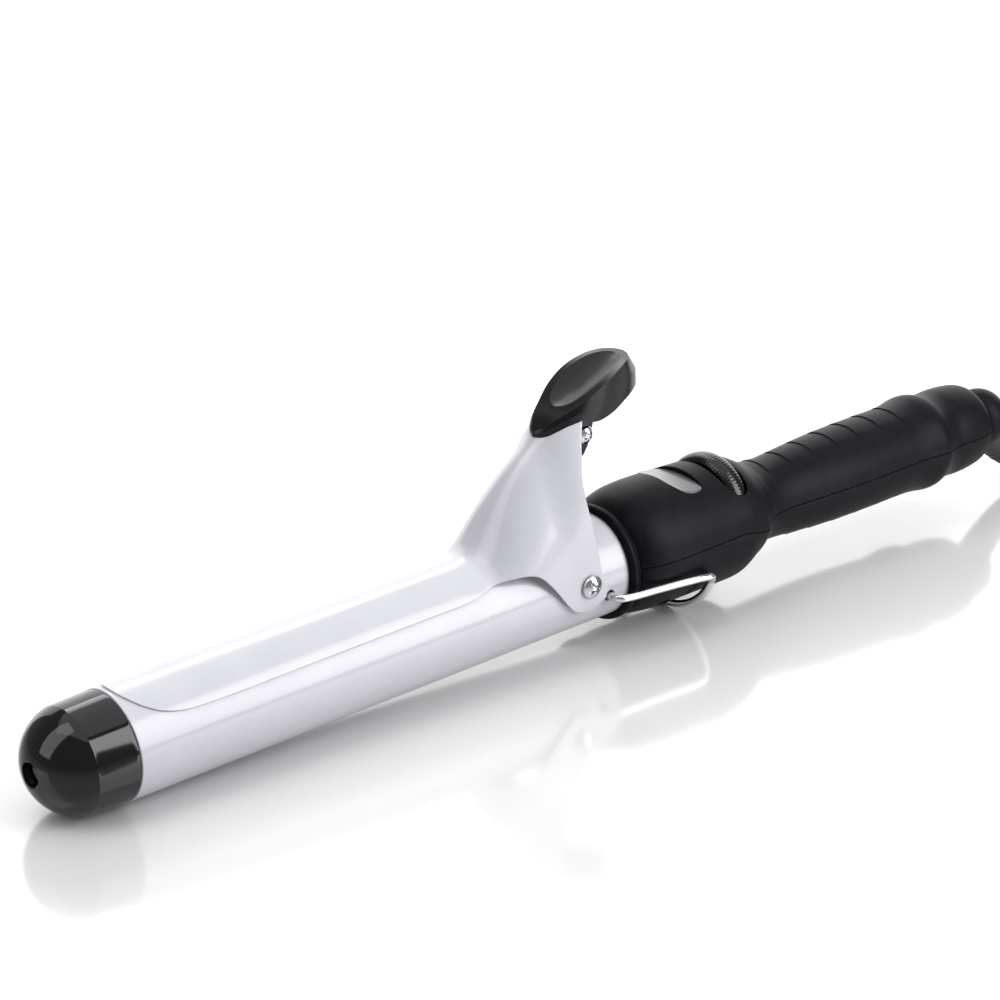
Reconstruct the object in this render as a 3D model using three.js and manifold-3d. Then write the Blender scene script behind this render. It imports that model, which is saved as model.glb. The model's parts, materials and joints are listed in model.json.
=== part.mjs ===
// Curling iron, millimetres, +Z up.
// The iron is drawn along X: x = 0 is the front end of the barrel tube, the tip points to -X, the
// handle to +X, and y = z = 0 is the barrel's axis. The finished group stands on its stand wire and
// on its tip, and the cord lies on the same surface.
import * as THREE from 'three';
import { mergeVertices } from 'three/addons/utils/BufferGeometryUtils.js';
import Module from 'manifold-3d';

const wasm = await Module();
wasm.setup();

// ---- driving dimensions ----
const GAP = 0.3;
const BARREL_R = 16;
const BARREL_WALL = 0.9;
const BARREL_END = 189;
const TIP_SHOULDER_X = -13.2;
const TIP_SHOULDER_R = 15.4;
const TIP_NOSE_R = 15.9;
const TIP_HOLE_R = 3.6;

const CLIP_R = 17;
const CLIP_SIDE_R = 17.6;
const CLIP_THICKNESS = 0.7;
const CLIP_COLUMNS = 16;
const CLIP_FRONT = 2.2;
const CLIP_REAR = 166.3;
const HORN_START = 118;
const HORN_TOP_X = 152;
const HORN_TOP_Z = 48;
const TAB_Z = 44.6;
const TAB_END = 180;
const PIVOT = { x: 160, z: 3.5 };

const THUMB_TILT = 0.309;
const THUMB_LENGTH = 42.5;
const THUMB_SCREW_X = 174.2;

const STAND_HOOK = { x: 169.5, z: -3 };
const STAND_WIRE_R = 1.25;
const STAND_BAR_X = 208;
const STAND_BAR_R = 21.9;

const HANDLE_START = 181.5;
const HANDLE_END = 349;
const PARTING_Z = 1;
const DIAL = { x: 226, z: 6.3, r: 16.2, width: 5 };
const WINDOW = { front: [198, 20], rear: [215.5, 17.3], thickness: 1.5 };

const CORD_R = 3;
const CORD_PITCH = 2 * CORD_R;
const HANK_START_X = 262;
const HANK_STRAIGHT = 67;
const HANK_OUTER_R = 27;
const HANK_LAYERS = 4;
const TIE = { thickness: 1.2, width: 16 };
const PLUG = { start: 404, cone: 16, body: 30, halfWidth: 17.5, height: 14, pinR: 2, pinReach: 18, pinY: 9.3 };

// ---- materials ----
function material(color, roughness, metalness = 0) {
  return new THREE.MeshStandardMaterial({ color, roughness, metalness });
}
const whiteCoat = material(0xe4e5ee, 0.25, 0.1);
const glossBlack = material(0x141416, 0.12);
const satinBlack = material(0x26282c, 0.45);
const rubberBlack = material(0x18191b, 0.7);
const chrome = material(0xd8dade, 0.12, 1);
const steel = material(0xb4b6b8, 0.35, 1);
const aluminium = material(0xc4c6c8, 0.4, 1);
const ceramic = material(0xeae4d6, 0.6);
const greyLens = material(0x9a9da3, 0.2);
const boardGreen = material(0x1f5a3a, 0.6);
const brass = material(0xc9a24a, 0.3, 1);
const redWire = material(0x8a1f1c, 0.6);
const blueWire = material(0x1d3f7a, 0.6);
const lampRed = material(0xc03028, 0.2);
const lampGreen = material(0x30a048, 0.2);

// ---- closed solids ----
function signedVolume(position, index) {
  let sum = 0;
  const corner = [new THREE.Vector3(), new THREE.Vector3(), new THREE.Vector3()];
  for (let i = 0; i < index.length; i += 3) {
    corner.forEach((v, k) => v.fromBufferAttribute(position, index[i + k]));
    sum += corner[0].dot(corner[1].cross(corner[2])) / 6;
  }
  return sum;
}

// Merges shared vertices, drops collapsed triangles and turns the faces outward.
function closed(geometry) {
  const bare = new THREE.BufferGeometry();
  bare.setAttribute('position', geometry.getAttribute('position').clone());
  if (geometry.index) bare.setIndex(geometry.index.clone());
  const merged = mergeVertices(bare, 1e-4);
  const source = merged.index.array;
  const index = [];
  for (let i = 0; i < source.length; i += 3) {
    const [a, b, c] = [source[i], source[i + 1], source[i + 2]];
    if (a !== b && b !== c && a !== c) index.push(a, b, c);
  }
  if (signedVolume(merged.getAttribute('position'), index) < 0) index.reverse();
  merged.setIndex(index);
  return merged;
}

function solid(geometry) {
  const merged = closed(geometry);
  return new wasm.Manifold(new wasm.Mesh({
    numProp: 3,
    vertProperties: new Float32Array(merged.getAttribute('position').array),
    triVerts: new Uint32Array(merged.index.array),
  }));
}

function geometryOf(manifold) {
  const mesh = manifold.getMesh();
  const geometry = new THREE.BufferGeometry();
  geometry.setAttribute('position', new THREE.BufferAttribute(mesh.vertProperties, 3));
  geometry.setIndex(new THREE.BufferAttribute(mesh.triVerts, 1));
  return geometry;
}

function cut(geometry, ...tools) {
  let result = solid(geometry);
  for (const tool of tools) result = result.subtract(solid(tool));
  return geometryOf(result);
}

function join(geometry, ...others) {
  let result = solid(geometry);
  for (const other of others) result = result.add(solid(other));
  return geometryOf(result);
}

function common(geometry, other) {
  return geometryOf(solid(geometry).intersect(solid(other)));
}

// A profile of [x, radius] points turned about the X axis.
function turned(profile, segments = 32) {
  const points = profile.map(([x, r]) => new THREE.Vector2(r, x));
  return new THREE.LatheGeometry(points, segments).rotateZ(-Math.PI / 2);
}

function rod(x0, x1, r, segments = 20) {
  return turned([[x0, 0], [x0, r], [x1, r], [x1, 0]], segments);
}

function ring(x0, x1, inner, outer, segments = 32) {
  return turned([[x0, inner], [x0, outer], [x1, outer], [x1, inner], [x0, inner]], segments);
}

function block(x0, x1, y0, y1, z0, z1) {
  const geometry = new THREE.BoxGeometry(x1 - x0, y1 - y0, z1 - z0);
  return geometry.translate((x0 + x1) / 2, (y0 + y1) / 2, (z0 + z1) / 2);
}

function pillar(x, y, z0, z1, r, segments = 20) {
  return rod(z0, z1, r, segments).rotateY(-Math.PI / 2).translate(x, y, 0);
}

function crossRod(x, z, y0, y1, r, segments = 20) {
  return rod(y0, y1, r, segments).rotateZ(Math.PI / 2).translate(x, 0, z);
}

function tube(curve, r, sides, steps) {
  const section = new THREE.Shape();
  section.absarc(0, 0, r, 0, 2 * Math.PI, false);
  return new THREE.ExtrudeGeometry(section, {
    steps, extrudePath: curve, curveSegments: sides / 2, bevelEnabled: false,
  });
}

function vectors(points) {
  return points.map((p) => new THREE.Vector3(...p));
}

function smoothCurve(points) {
  return new THREE.CatmullRomCurve3(vectors(points), false, 'centripetal');
}

// An outline of [x, z] points extruded across the iron from -halfWidth to +halfWidth.
function sideProfile(points, halfWidth) {
  const shape = new THREE.Shape(points.map(([x, z]) => new THREE.Vector2(x, z)));
  const geometry = new THREE.ExtrudeGeometry(shape, { depth: 2 * halfWidth, bevelEnabled: false });
  return geometry.rotateX(Math.PI / 2).translate(0, halfWidth, 0);
}

const iron = new THREE.Group();
const cord = new THREE.Group();

function add(group, name, geometry, look) {
  const mesh = new THREE.Mesh(closed(geometry), look);
  mesh.name = name;
  group.add(mesh);
}

// ---- tip: a slightly tapered skirt, a crease, and a spherical nose with a hole ----
const holeEdge = Math.asin(TIP_HOLE_R / TIP_NOSE_R);
const noseRim = Math.asin(TIP_SHOULDER_R / TIP_NOSE_R);
const noseCentre = TIP_SHOULDER_X + TIP_NOSE_R * Math.cos(noseRim);
const dome = [];
for (let i = 0; i <= 8; i += 1) {
  const angle = holeEdge + (noseRim - holeEdge) * (i / 8);
  dome.push([noseCentre - TIP_NOSE_R * Math.cos(angle), TIP_NOSE_R * Math.sin(angle)]);
}
const tipProfile = [
  [-20.5, TIP_HOLE_R], ...dome, [-GAP, BARREL_R - 0.1], [-GAP, 14.7],
  [7, 14.7], [7, 13.2], [-14, 12.2], [-17.5, 8], [-17.5, 1.9], [-20.5, 1.9], [-20.5, TIP_HOLE_R],
];
add(iron, 'tip_cap', turned(tipProfile, 32), glossBlack);
add(iron, 'tip_screw', turned([[-22.2, 0], [-22.2, 2.4], [-20.8, 3], [-20.8, 1.5], [8, 1.5], [8, 0]], 16), steel);

// ---- barrel ----
const stemBore = 1.9;
const barrelInner = BARREL_R - BARREL_WALL;
add(iron, 'barrel_tube', cut(
  ring(0, BARREL_END, barrelInner, BARREL_R, 40),
  crossRod(PIVOT.x, PIVOT.z, -20, 20, stemBore, 12),
  crossRod(STAND_HOOK.x, STAND_HOOK.z, -20, 20, stemBore, 12),
), whiteCoat);
add(iron, 'heater_core', cut(rod(12, 148, 13.6, 32), block(11, 149, -7.5, 7.5, -2.2, 2.2)), aluminium);
add(iron, 'heater_element', block(16, 146, -7, 7, -1.8, 1.8), ceramic);
add(iron, 'thermistor', crossRod(151.5, 6.5, -3, 3, 1.8, 12), ceramic);
add(iron, 'thermal_fuse', crossRod(153.5, -7, -5, 5, 2, 12), aluminium);
add(iron, 'heat_shield', cut(
  rod(177, 179.5, barrelInner - GAP, 32),
  rod(176, 181, 1.6, 12).translate(0, 4, 0),
  rod(176, 181, 1.6, 12).translate(0, -4, 0),
), ceramic);

for (const [name, y, look] of [['heater_lead_line', 4, redWire], ['heater_lead_neutral', -4, blueWire]]) {
  const path = smoothCurve([[148.5, y, 0], [160, y, 0], [172, y, 0], [184, y, 0]]);
  add(iron, name, tube(path, 1.1, 6, 3), look);
}

// ---- clip ----
// Half width of the clip's section, and the height of its ridge, at a station x.
function clipHalfWidth(x) {
  const rise = THREE.MathUtils.clamp((x - HORN_START) / 32, 0, 1);
  return CLIP_R + (CLIP_SIDE_R - CLIP_R) * rise;
}

function clipRidge(x) {
  const rise = THREE.MathUtils.clamp((x - HORN_START) / (HORN_TOP_X - HORN_START), 0, 1);
  return CLIP_R + (HORN_TOP_Z - CLIP_R) * rise * (1.2 - 0.2 * rise);
}

// Height of the clip's lower edge: a rounded nose, a long straight leaf, then round the ears.
const clipEdge = new THREE.SplineCurve([
  [2, 17], [3.2, 16.2], [5.8, 13.8], [10, 11.6], [17, 10.2], [60, 10.2], [100, 10.2], [118, 10.5],
  [129, 12.5], [136, 12.9], [141, 11.4], [147.7, 4.5], [152, -1.4], [156, -4.1], [160, -4.7], [166.4, -1.6],
].map(([x, z]) => new THREE.Vector2(x, z))).getPoints(300);

function clipEdgeHeight(x) {
  const next = clipEdge.findIndex((p) => p.x >= x);
  const [a, b] = [clipEdge[Math.max(next - 1, 0)], clipEdge[next]];
  return b.x > a.x ? THREE.MathUtils.mapLinear(x, a.x, b.x, a.y, b.y) : b.y;
}

function clipSection(x, inset, columns) {
  const width = clipHalfWidth(x) - inset;
  const ridge = clipRidge(x) - inset;
  const edge = clipEdgeHeight(x);
  const reach = Math.acos(THREE.MathUtils.clamp(edge / (edge > 0 ? clipRidge(x) : CLIP_SIDE_R), -1, 1));
  const points = [];
  for (let i = 0; i <= columns; i += 1) {
    const angle = reach * (2 * (i / columns) - 1);
    const upright = Math.cos(angle);
    const height = upright > 0 ? ridge : CLIP_SIDE_R - inset;
    points.push(new THREE.Vector3(x, width * Math.sin(angle), height * upright));
  }
  return points;
}

// Joins an outer and an inner grid of the same size into one closed sheet.
function sheet(outer, inner) {
  const rows = outer.length;
  const columns = outer[0].length;
  const corners = [];
  const quad = (a, b, c, d) => corners.push(a, b, c, a, c, d);
  for (let r = 0; r < rows - 1; r += 1) {
    for (let c = 0; c < columns - 1; c += 1) {
      quad(outer[r][c], outer[r][c + 1], outer[r + 1][c + 1], outer[r + 1][c]);
      quad(inner[r][c], inner[r + 1][c], inner[r + 1][c + 1], inner[r][c + 1]);
    }
    const last = columns - 1;
    quad(outer[r][0], outer[r + 1][0], inner[r + 1][0], inner[r][0]);
    quad(outer[r][last], inner[r][last], inner[r + 1][last], outer[r + 1][last]);
  }
  for (let c = 0; c < columns - 1; c += 1) {
    const end = rows - 1;
    quad(outer[0][c], inner[0][c], inner[0][c + 1], outer[0][c + 1]);
    quad(outer[end][c], outer[end][c + 1], inner[end][c + 1], inner[end][c]);
  }
  return new THREE.BufferGeometry().setFromPoints(corners);
}

const clipStations = [CLIP_FRONT, 3, 4.5, 7, 11, 18, 100, HORN_START, 124, 130, 136, 141, 144.5, 148,
  HORN_TOP_X, 156, 160, 163.5, CLIP_REAR];
const clipLeaf = sheet(
  clipStations.map((x) => clipSection(x, 0, CLIP_COLUMNS)),
  clipStations.map((x) => clipSection(x, CLIP_THICKNESS, CLIP_COLUMNS)),
);
const hornTop = 46;
const clipPlate = cut(
  clipLeaf,
  block(100, 200, -30, 30, hornTop, 60),
  crossRod(PIVOT.x, PIVOT.z, -25, 25, stemBore, 16),
);
add(iron, 'clip_plate', cut(
  join(clipPlate, block(152.5, TAB_END, -5.2, 5.2, TAB_Z - 0.6, TAB_Z + 0.4)),
  pillar(THUMB_SCREW_X, 0, 40, 50, stemBore, 12),
), whiteCoat);

// ---- thumb rest: a tilted paddle, side outline and plan outline in its own axes ----
const thumbSide = [
  [0, 0.6], [0.4, 2.2], [2, 3], [38, 5.4], [41, 4.8], [THUMB_LENGTH, 1.5], [41.5, -1.5], [24.5, -9.6],
  [22, -10.2], [19, -10], [13.2, -7.4], [1, -1.4],
];
const thumbPlan = new THREE.Shape();
thumbPlan.moveTo(-1, 0);
thumbPlan.bezierCurveTo(3, -5, 12, -8.6, 26, -8.6);
thumbPlan.bezierCurveTo(38, -8.6, THUMB_LENGTH, -5, THUMB_LENGTH, 0);
thumbPlan.bezierCurveTo(THUMB_LENGTH, 5, 38, 8.6, 26, 8.6);
thumbPlan.bezierCurveTo(12, 8.6, 3, 5, -1, 0);
const thumbPrism = new THREE.ExtrudeGeometry(thumbPlan, { depth: 24, bevelEnabled: false, curveSegments: 8 });
const dish = new THREE.SphereGeometry(1, 20, 12).scale(15.5, 6.6, 7).translate(25, 0, 9.5);
const thumbBody = cut(common(sideProfile(thumbSide, 10), thumbPrism.translate(0, 0, -12)), dish);
thumbBody.rotateY(-THUMB_TILT).translate(152, 0, 49);
add(iron, 'thumb_rest', cut(
  thumbBody,
  block(140, TAB_END + 1, -10, 10, 30, TAB_Z + 0.7),
  block(140, CLIP_REAR + 1, -10, 10, 30, hornTop + GAP),
  pillar(THUMB_SCREW_X, 0, 40, 52, 1.8, 12),
), satinBlack);
const screwSeat = TAB_Z - 0.6 - GAP;
add(iron, 'thumb_screw', join(
  pillar(THUMB_SCREW_X, 0, screwSeat - 2, screwSeat, 3.1, 20),
  pillar(THUMB_SCREW_X, 0, screwSeat - 0.5, 51, 1.4, 12),
), chrome);

// ---- pivot screws, one each side ----
for (const [name, side] of [['pivot_screw_left', -1], ['pivot_screw_right', 1]]) {
  const profile = [[13, 0], [13, 1.5], [18, 1.5], [18, 3.9], [19, 3.6], [19.9, 2.2], [20.2, 0]];
  const screw = turned(profile, 24).rotateZ(Math.PI / 2 * side).translate(PIVOT.x, 0, PIVOT.z);
  add(iron, name, screw, chrome);
}

// ---- clip spring: a leaf on top of the barrel that pushes the horn's tab up ----
add(iron, 'clip_spring', sideProfile([
  [124, 16.7], [142, 16.7], [148, 19.5], [154, 27], [159, 36], [163.5, 42.6],
  [163, 43.1], [158.4, 36.5], [153.4, 27.6], [147.5, 20.2], [141.8, 17.4], [124, 17.4],
], 4), steel);

// ---- stand wire: hooked into the barrel, round under the handle ----
function standHalf(side) {
  const points = [
    [STAND_HOOK.x, 12.5 * side, STAND_HOOK.z], [STAND_HOOK.x, 17.4 * side, STAND_HOOK.z],
    [STAND_HOOK.x + 1.8, 19.6 * side, STAND_HOOK.z - 0.1], [190, 20.9 * side, -4.4],
    [203, 21.9 * side, -5.4], [206.6, 21.6 * side, -6.6],
  ];
  return points;
}
const standArc = [];
for (let degrees = -66; degrees <= 66; degrees += 12) {
  const angle = THREE.MathUtils.degToRad(degrees);
  standArc.push([STAND_BAR_X, STAND_BAR_R * Math.sin(angle), -STAND_BAR_R * Math.cos(angle)]);
}
const standPath = smoothCurve([...standHalf(-1), ...standArc, ...standHalf(1).reverse()]);
add(iron, 'stand_wire', tube(standPath, STAND_WIRE_R, 8, 64), chrome);

// ---- handle ----
add(iron, 'collar_ring', turned([
  [176.8, 16.3], [176.8, 17.4], [178, 18.2], [180, 18.2], [181.2, 17.2], [181.2, 16.3], [176.8, 16.3],
], 32), satinBlack);

const gripRings = [[250, 12.7], [262, 13.6], [276, 14.6], [292, 15], [312, 15.1]];
const handleOutline = [
  [HANDLE_START, 17.4], [185, 18.3], [191, 19.1], [206, 19.4], [216, 19.8], [224, 20.2], [228.5, 19.9],
  [231.5, 18], [236, 15.2], [241, 13.2], [246, 12.5], ...gripRings, [322, 16.2], [329, 14.7], [340, 14.8],
  [345, 13.9], [348, 12], [HANDLE_END, 10.4],
];
const cavityOutline = [
  [HANDLE_START - 1, 16.4], [186, 16.4], [192, 17.2], [224, 17.9], [229, 17.2], [234, 13.4],
  [241, 11], [246, 10.4], [262, 11.4], [292, 12.9], [328, 12.6], [343, 12.4], [343, 7.6], [HANDLE_END + 1, 7.6],
];
const closeOnAxis = (outline) => [[outline[0][0], 0], ...outline, [outline.at(-1)[0], 0]];
const handleBody = turned(closeOnAxis(handleOutline), 32);
const handleCavity = turned(closeOnAxis(cavityOutline), 20);

const dialPocket = rod(DIAL.x - DIAL.width / 2 - 0.6, DIAL.x + DIAL.width / 2 + 0.6, DIAL.r + 0.5, 32);
dialPocket.translate(0, 0, DIAL.z);
const facet = (drop, extra) => {
  const [[x0, z0], [x1, z1]] = [WINDOW.front, WINDOW.rear];
  return [[x0 - 4, z0 + 0.62 - drop], [x1 + extra, z1 - drop], [x1 + extra, 30], [x0 - 4, 30]];
};
const windowPocket = sideProfile(facet(WINDOW.thickness + GAP, GAP), 12);
const shellCuts = [handleCavity, dialPocket, windowPocket];

const screws = [
  { name: 'housing_screw_front_left', x: 194.6, y: -12, top: -6 },
  { name: 'housing_screw_front_right', x: 194.6, y: 12, top: -6 },
  { name: 'housing_screw_middle', x: 256, y: 0, top: -7 },
  { name: 'housing_screw_rear', x: 308, y: 0, top: -8 },
];
const bossParts = screws.map((s) => pillar(s.x, s.y, -22, PARTING_Z - GAP / 2, 3.9, 16));
const bossBores = screws.flatMap((s) => [
  pillar(s.x, s.y, -24, s.top, 2.9, 16), pillar(s.x, s.y, -24, 3, 1.7, 12),
]);
const lowerHalf = block(170, 360, -30, 30, -30, PARTING_Z - GAP / 2);
const upperHalf = block(170, 360, -30, 30, PARTING_Z + GAP / 2, 30);
const bosses = bossParts.slice(1).reduce((all, one) => join(all, one), bossParts[0]);
const bossesInside = common(bosses, turned(closeOnAxis(handleOutline.map(([x, r]) => [x, r - 0.4])), 32));
const barrelRoom = rod(170, BARREL_END + 1, BARREL_R + GAP, 32);
const lowerShell = cut(join(common(cut(handleBody, ...shellCuts), lowerHalf), bossesInside), barrelRoom, ...bossBores);
add(iron, 'handle_lower_shell', lowerShell, satinBlack);
add(iron, 'handle_upper_shell', common(cut(handleBody, ...shellCuts, barrelRoom), upperHalf), satinBlack);
for (const s of screws) {
  const head = pillar(s.x, s.y, s.top - 2.4, s.top - GAP, 2.6, 16);
  add(iron, s.name, join(head, pillar(s.x, s.y, s.top - 1, 6, 1.35, 10)), steel);
}

const windowSlab = sideProfile([
  [WINDOW.front[0] - 3, WINDOW.front[1] + 0.46], [...WINDOW.rear],
  [WINDOW.rear[0], WINDOW.rear[1] - WINDOW.thickness], [WINDOW.front[0] - 3, WINDOW.front[1] + 0.46 - WINDOW.thickness],
], 12);
add(iron, 'indicator_window', cut(common(windowSlab, handleBody), handleCavity), greyLens);

add(iron, 'lamp_power', pillar(204, -3.5, 4, 12, 1.6, 12), lampRed);
add(iron, 'lamp_ready', pillar(204, 3.5, 4, 12, 1.6, 12), lampGreen);
add(iron, 'circuit_board', block(199, 222, -14, 14, -3.6, -2), boardGreen);

// ---- temperature dial ----
const knurls = 36;
const dialOutline = new THREE.Shape();
for (let i = 0; i < 2 * knurls; i += 1) {
  const angle = (i / (2 * knurls)) * 2 * Math.PI;
  const r = i % 2 ? DIAL.r : DIAL.r - 0.6;
  const corner = [r * Math.cos(angle), r * Math.sin(angle)];
  if (i === 0) dialOutline.moveTo(...corner);
  else dialOutline.lineTo(...corner);
}
const dialBore = new THREE.Path();
dialBore.absarc(0, 0, 1.9, 0, 2 * Math.PI, true);
dialOutline.holes.push(dialBore);
const dialDisc = new THREE.ExtrudeGeometry(dialOutline, { depth: DIAL.width, bevelEnabled: false, curveSegments: 8 });
add(iron, 'control_dial', dialDisc.rotateY(Math.PI / 2).translate(DIAL.x - DIAL.width / 2, 0, DIAL.z), glossBlack);
add(iron, 'dial_shaft', rod(216, DIAL.x + DIAL.width / 2, 1.5, 12).translate(0, 0, DIAL.z), steel);
add(iron, 'potentiometer', ring(215, 222, 1.9, 6, 20).translate(0, 0, DIAL.z), ceramic);

// ---- cord swivel ----
const neckR = 6.8;
const swivelProfile = [
  [318, 0], [318, 4.6], [336, 4.6], [336, neckR + 3], [340, neckR + 3], [340, neckR], [350, neckR],
  [350.2, 8.6], [353, 9.8], [357, 10], [361, 8.6], [364, 5.6], [365.4, 0],
];
const bootCurve = smoothCurve([[358, 0, -3], [364, 0, -9.5], [371, 0, -15.5], [379, 0, -20], [388, 0, -23.2]]);
const bootRoom = tube(bootCurve, 6 + GAP, 12, 10);
add(iron, 'swivel_joint', cut(turned(swivelProfile, 24), bootRoom), satinBlack);
const ringSeats = [['line', 321], ['neutral', 327]];
for (const [name, x] of ringSeats) {
  add(iron, `slip_ring_${name}`, ring(x, x + 3, 4.6 + GAP, 6.2, 24), brass);
  add(iron, `contact_spring_${name}`, block(x + 0.4, x + 2.6, -2, 2, 6.2 + GAP, 8.4), brass);
}

// A tapered boot: rings of falling radius along its curve.
function taperedBoot() {
  const sides = 12;
  const stations = 12;
  const frames = bootCurve.computeFrenetFrames(stations);
  const rings = [];
  for (let i = 0; i <= stations; i += 1) {
    const t = i / stations;
    const r = THREE.MathUtils.lerp(6, 4, t);
    const centre = bootCurve.getPointAt(t);
    rings.push(Array.from({ length: sides + 1 }, (_, k) => {
      const angle = (k / sides) * 2 * Math.PI;
      return centre.clone()
        .addScaledVector(frames.normals[i], r * Math.cos(angle))
        .addScaledVector(frames.binormals[i], r * Math.sin(angle));
    }));
  }
  const cap = (point) => Array.from({ length: sides + 1 }, () => point.clone());
  const rows = [cap(bootCurve.getPointAt(0)), ...rings, cap(bootCurve.getPointAt(1))];
  const corners = [];
  for (let i = 0; i < rows.length - 1; i += 1) {
    for (let k = 0; k < sides; k += 1) {
      corners.push(rows[i][k], rows[i][k + 1], rows[i + 1][k + 1], rows[i][k], rows[i + 1][k + 1], rows[i + 1][k]);
    }
  }
  return new THREE.BufferGeometry().setFromPoints(corners);
}
add(iron, 'strain_relief', taperedBoot(), rubberBlack);

// ---- stand the iron on the front rim of its barrel and on its stand wire ----
const wireDrop = STAND_BAR_R + STAND_WIRE_R;
const restTilt = Math.atan2(wireDrop - BARREL_R, STAND_BAR_X);
iron.rotation.y = -restTilt;
iron.updateMatrixWorld(true);
const ironBox = new THREE.Box3().setFromObject(iron, true);
iron.position.set(-(ironBox.min.x + ironBox.max.x) / 2, 0, -ironBox.min.z);
iron.updateMatrixWorld(true);

// ---- cord, in the finished frame: z = 0 is the surface ----
// Lead: out of the boot, down to the surface, then sideways to the hank's outer column.
const bootEnd = bootCurve.getPointAt(1).applyMatrix4(iron.matrixWorld);
const bootDirection = bootCurve.getTangentAt(1).transformDirection(iron.matrixWorld);
const leadStart = bootEnd.clone().addScaledVector(bootDirection, GAP).toArray();
const hankBase = TIE.thickness + GAP;
const firstLayer = hankBase + CORD_R;
const topLayer = firstLayer + (HANK_LAYERS - 1) * CORD_PITCH;
const outerColumn = HANK_OUTER_R - CORD_R;
const innerColumn = outerColumn - CORD_PITCH;
const hankEnd = HANK_START_X + HANK_STRAIGHT;
const leadRoute = [
  leadStart, [214, 0, 4.2], [220, 0.6, 3.4], [228, 3.4, 3.1], [236, 8.6, 3.1], [244, 14.8, 3.4],
  [252, 20.2, 4], [HANK_START_X, outerColumn, firstLayer],
];
// Tail: off the top of the hank, over its end and down to the plug.
const plugAxis = PLUG.height / 2;
const tailRoute = [
  [hankEnd, innerColumn, topLayer], [344, 17.6, topLayer], [356, 15.6, 20.6], [368, 11.6, 15.6],
  [380, 6.8, 10.6], [392, 2.4, 7.6], [PLUG.start, 0, plugAxis],
];

function hankPrism(r, z0, z1) {
  const outline = new THREE.Shape();
  outline.absarc(HANK_START_X, 0, r, Math.PI / 2, 1.5 * Math.PI, false);
  outline.absarc(hankEnd, 0, r, -Math.PI / 2, Math.PI / 2, false);
  const options = { depth: z1 - z0, bevelEnabled: false, curveSegments: 16 };
  return new THREE.ExtrudeGeometry(outline, options).translate(0, 0, z0);
}
const hankTop = hankBase + HANK_LAYERS * CORD_PITCH;
const hankRoom = hankPrism(HANK_OUTER_R + GAP, -1, hankTop + GAP);
add(cord, 'cord_lead', cut(tube(smoothCurve(leadRoute), CORD_R, 8, 8), hankRoom), rubberBlack);
add(cord, 'cord_hank', hankPrism(HANK_OUTER_R, hankBase, hankTop), rubberBlack);
const plugEntry = block(PLUG.start - GAP, PLUG.start + 20, -10, 10, -5, 20);
add(cord, 'cord_tail', cut(tube(smoothCurve(tailRoute), CORD_R, 8, 10), hankRoom, plugEntry), rubberBlack);

const tieMiddle = HANK_START_X + HANK_STRAIGHT / 2;
const tieInner = HANK_OUTER_R + GAP;
const tieOuter = tieInner + TIE.thickness;
add(cord, 'cord_tie', cut(
  block(tieMiddle - TIE.width / 2, tieMiddle + TIE.width / 2, -tieOuter, tieOuter, 0, hankTop + GAP + TIE.thickness),
  block(tieMiddle - TIE.width, tieMiddle + TIE.width, -tieInner, tieInner, TIE.thickness, hankTop + GAP),
), satinBlack);

// ---- plug ----
const plugBack = PLUG.start + PLUG.cone;
const plugFront = plugBack + PLUG.body;
const plugOutline = new THREE.Shape();
plugOutline.moveTo(plugBack, -7);
plugOutline.lineTo(plugBack + 12, -PLUG.halfWidth);
plugOutline.lineTo(plugFront - 2, -PLUG.halfWidth);
plugOutline.lineTo(plugFront, -PLUG.halfWidth + 2);
plugOutline.lineTo(plugFront, PLUG.halfWidth - 2);
plugOutline.lineTo(plugFront - 2, PLUG.halfWidth);
plugOutline.lineTo(plugBack + 12, PLUG.halfWidth);
plugOutline.lineTo(plugBack, 7);
const plugSlab = new THREE.ExtrudeGeometry(plugOutline, {
  depth: PLUG.height - 3, bevelEnabled: true, bevelThickness: 1.5, bevelSize: 1.5, bevelOffset: -1.5, bevelSegments: 2,
});
plugSlab.translate(0, 0, 1.5);
const plugCone = turned([
  [PLUG.start, 0], [PLUG.start, 3.9], [plugBack + 3, 5.6], [plugBack + 3, 0],
], 20).translate(0, 0, plugAxis);
const pinRoot = plugFront - 8;
const pinSides = [['left', -PLUG.pinY], ['right', PLUG.pinY]];
const pinBores = pinSides.map(([, y]) => (
  rod(pinRoot - GAP, plugFront + 1, PLUG.pinR + GAP, 16).translate(0, y, plugAxis)));
add(cord, 'plug_body', cut(join(plugSlab, plugCone), ...pinBores), rubberBlack);
for (const [side, y] of pinSides) {
  const pinTip = plugFront + PLUG.pinReach;
  const pin = turned([[pinRoot, 0], [pinRoot, PLUG.pinR], [pinTip - 1, PLUG.pinR], [pinTip, 1], [pinTip, 0]], 16);
  add(cord, `plug_pin_${side}`, pin.translate(0, y, plugAxis), brass);
}

const group = new THREE.Group();
group.add(iron, cord);
export default group;
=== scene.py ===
"""Curling iron: the looks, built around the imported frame."""
import json
import math

import bmesh
import bpy
from mathutils import Matrix, Vector


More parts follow.
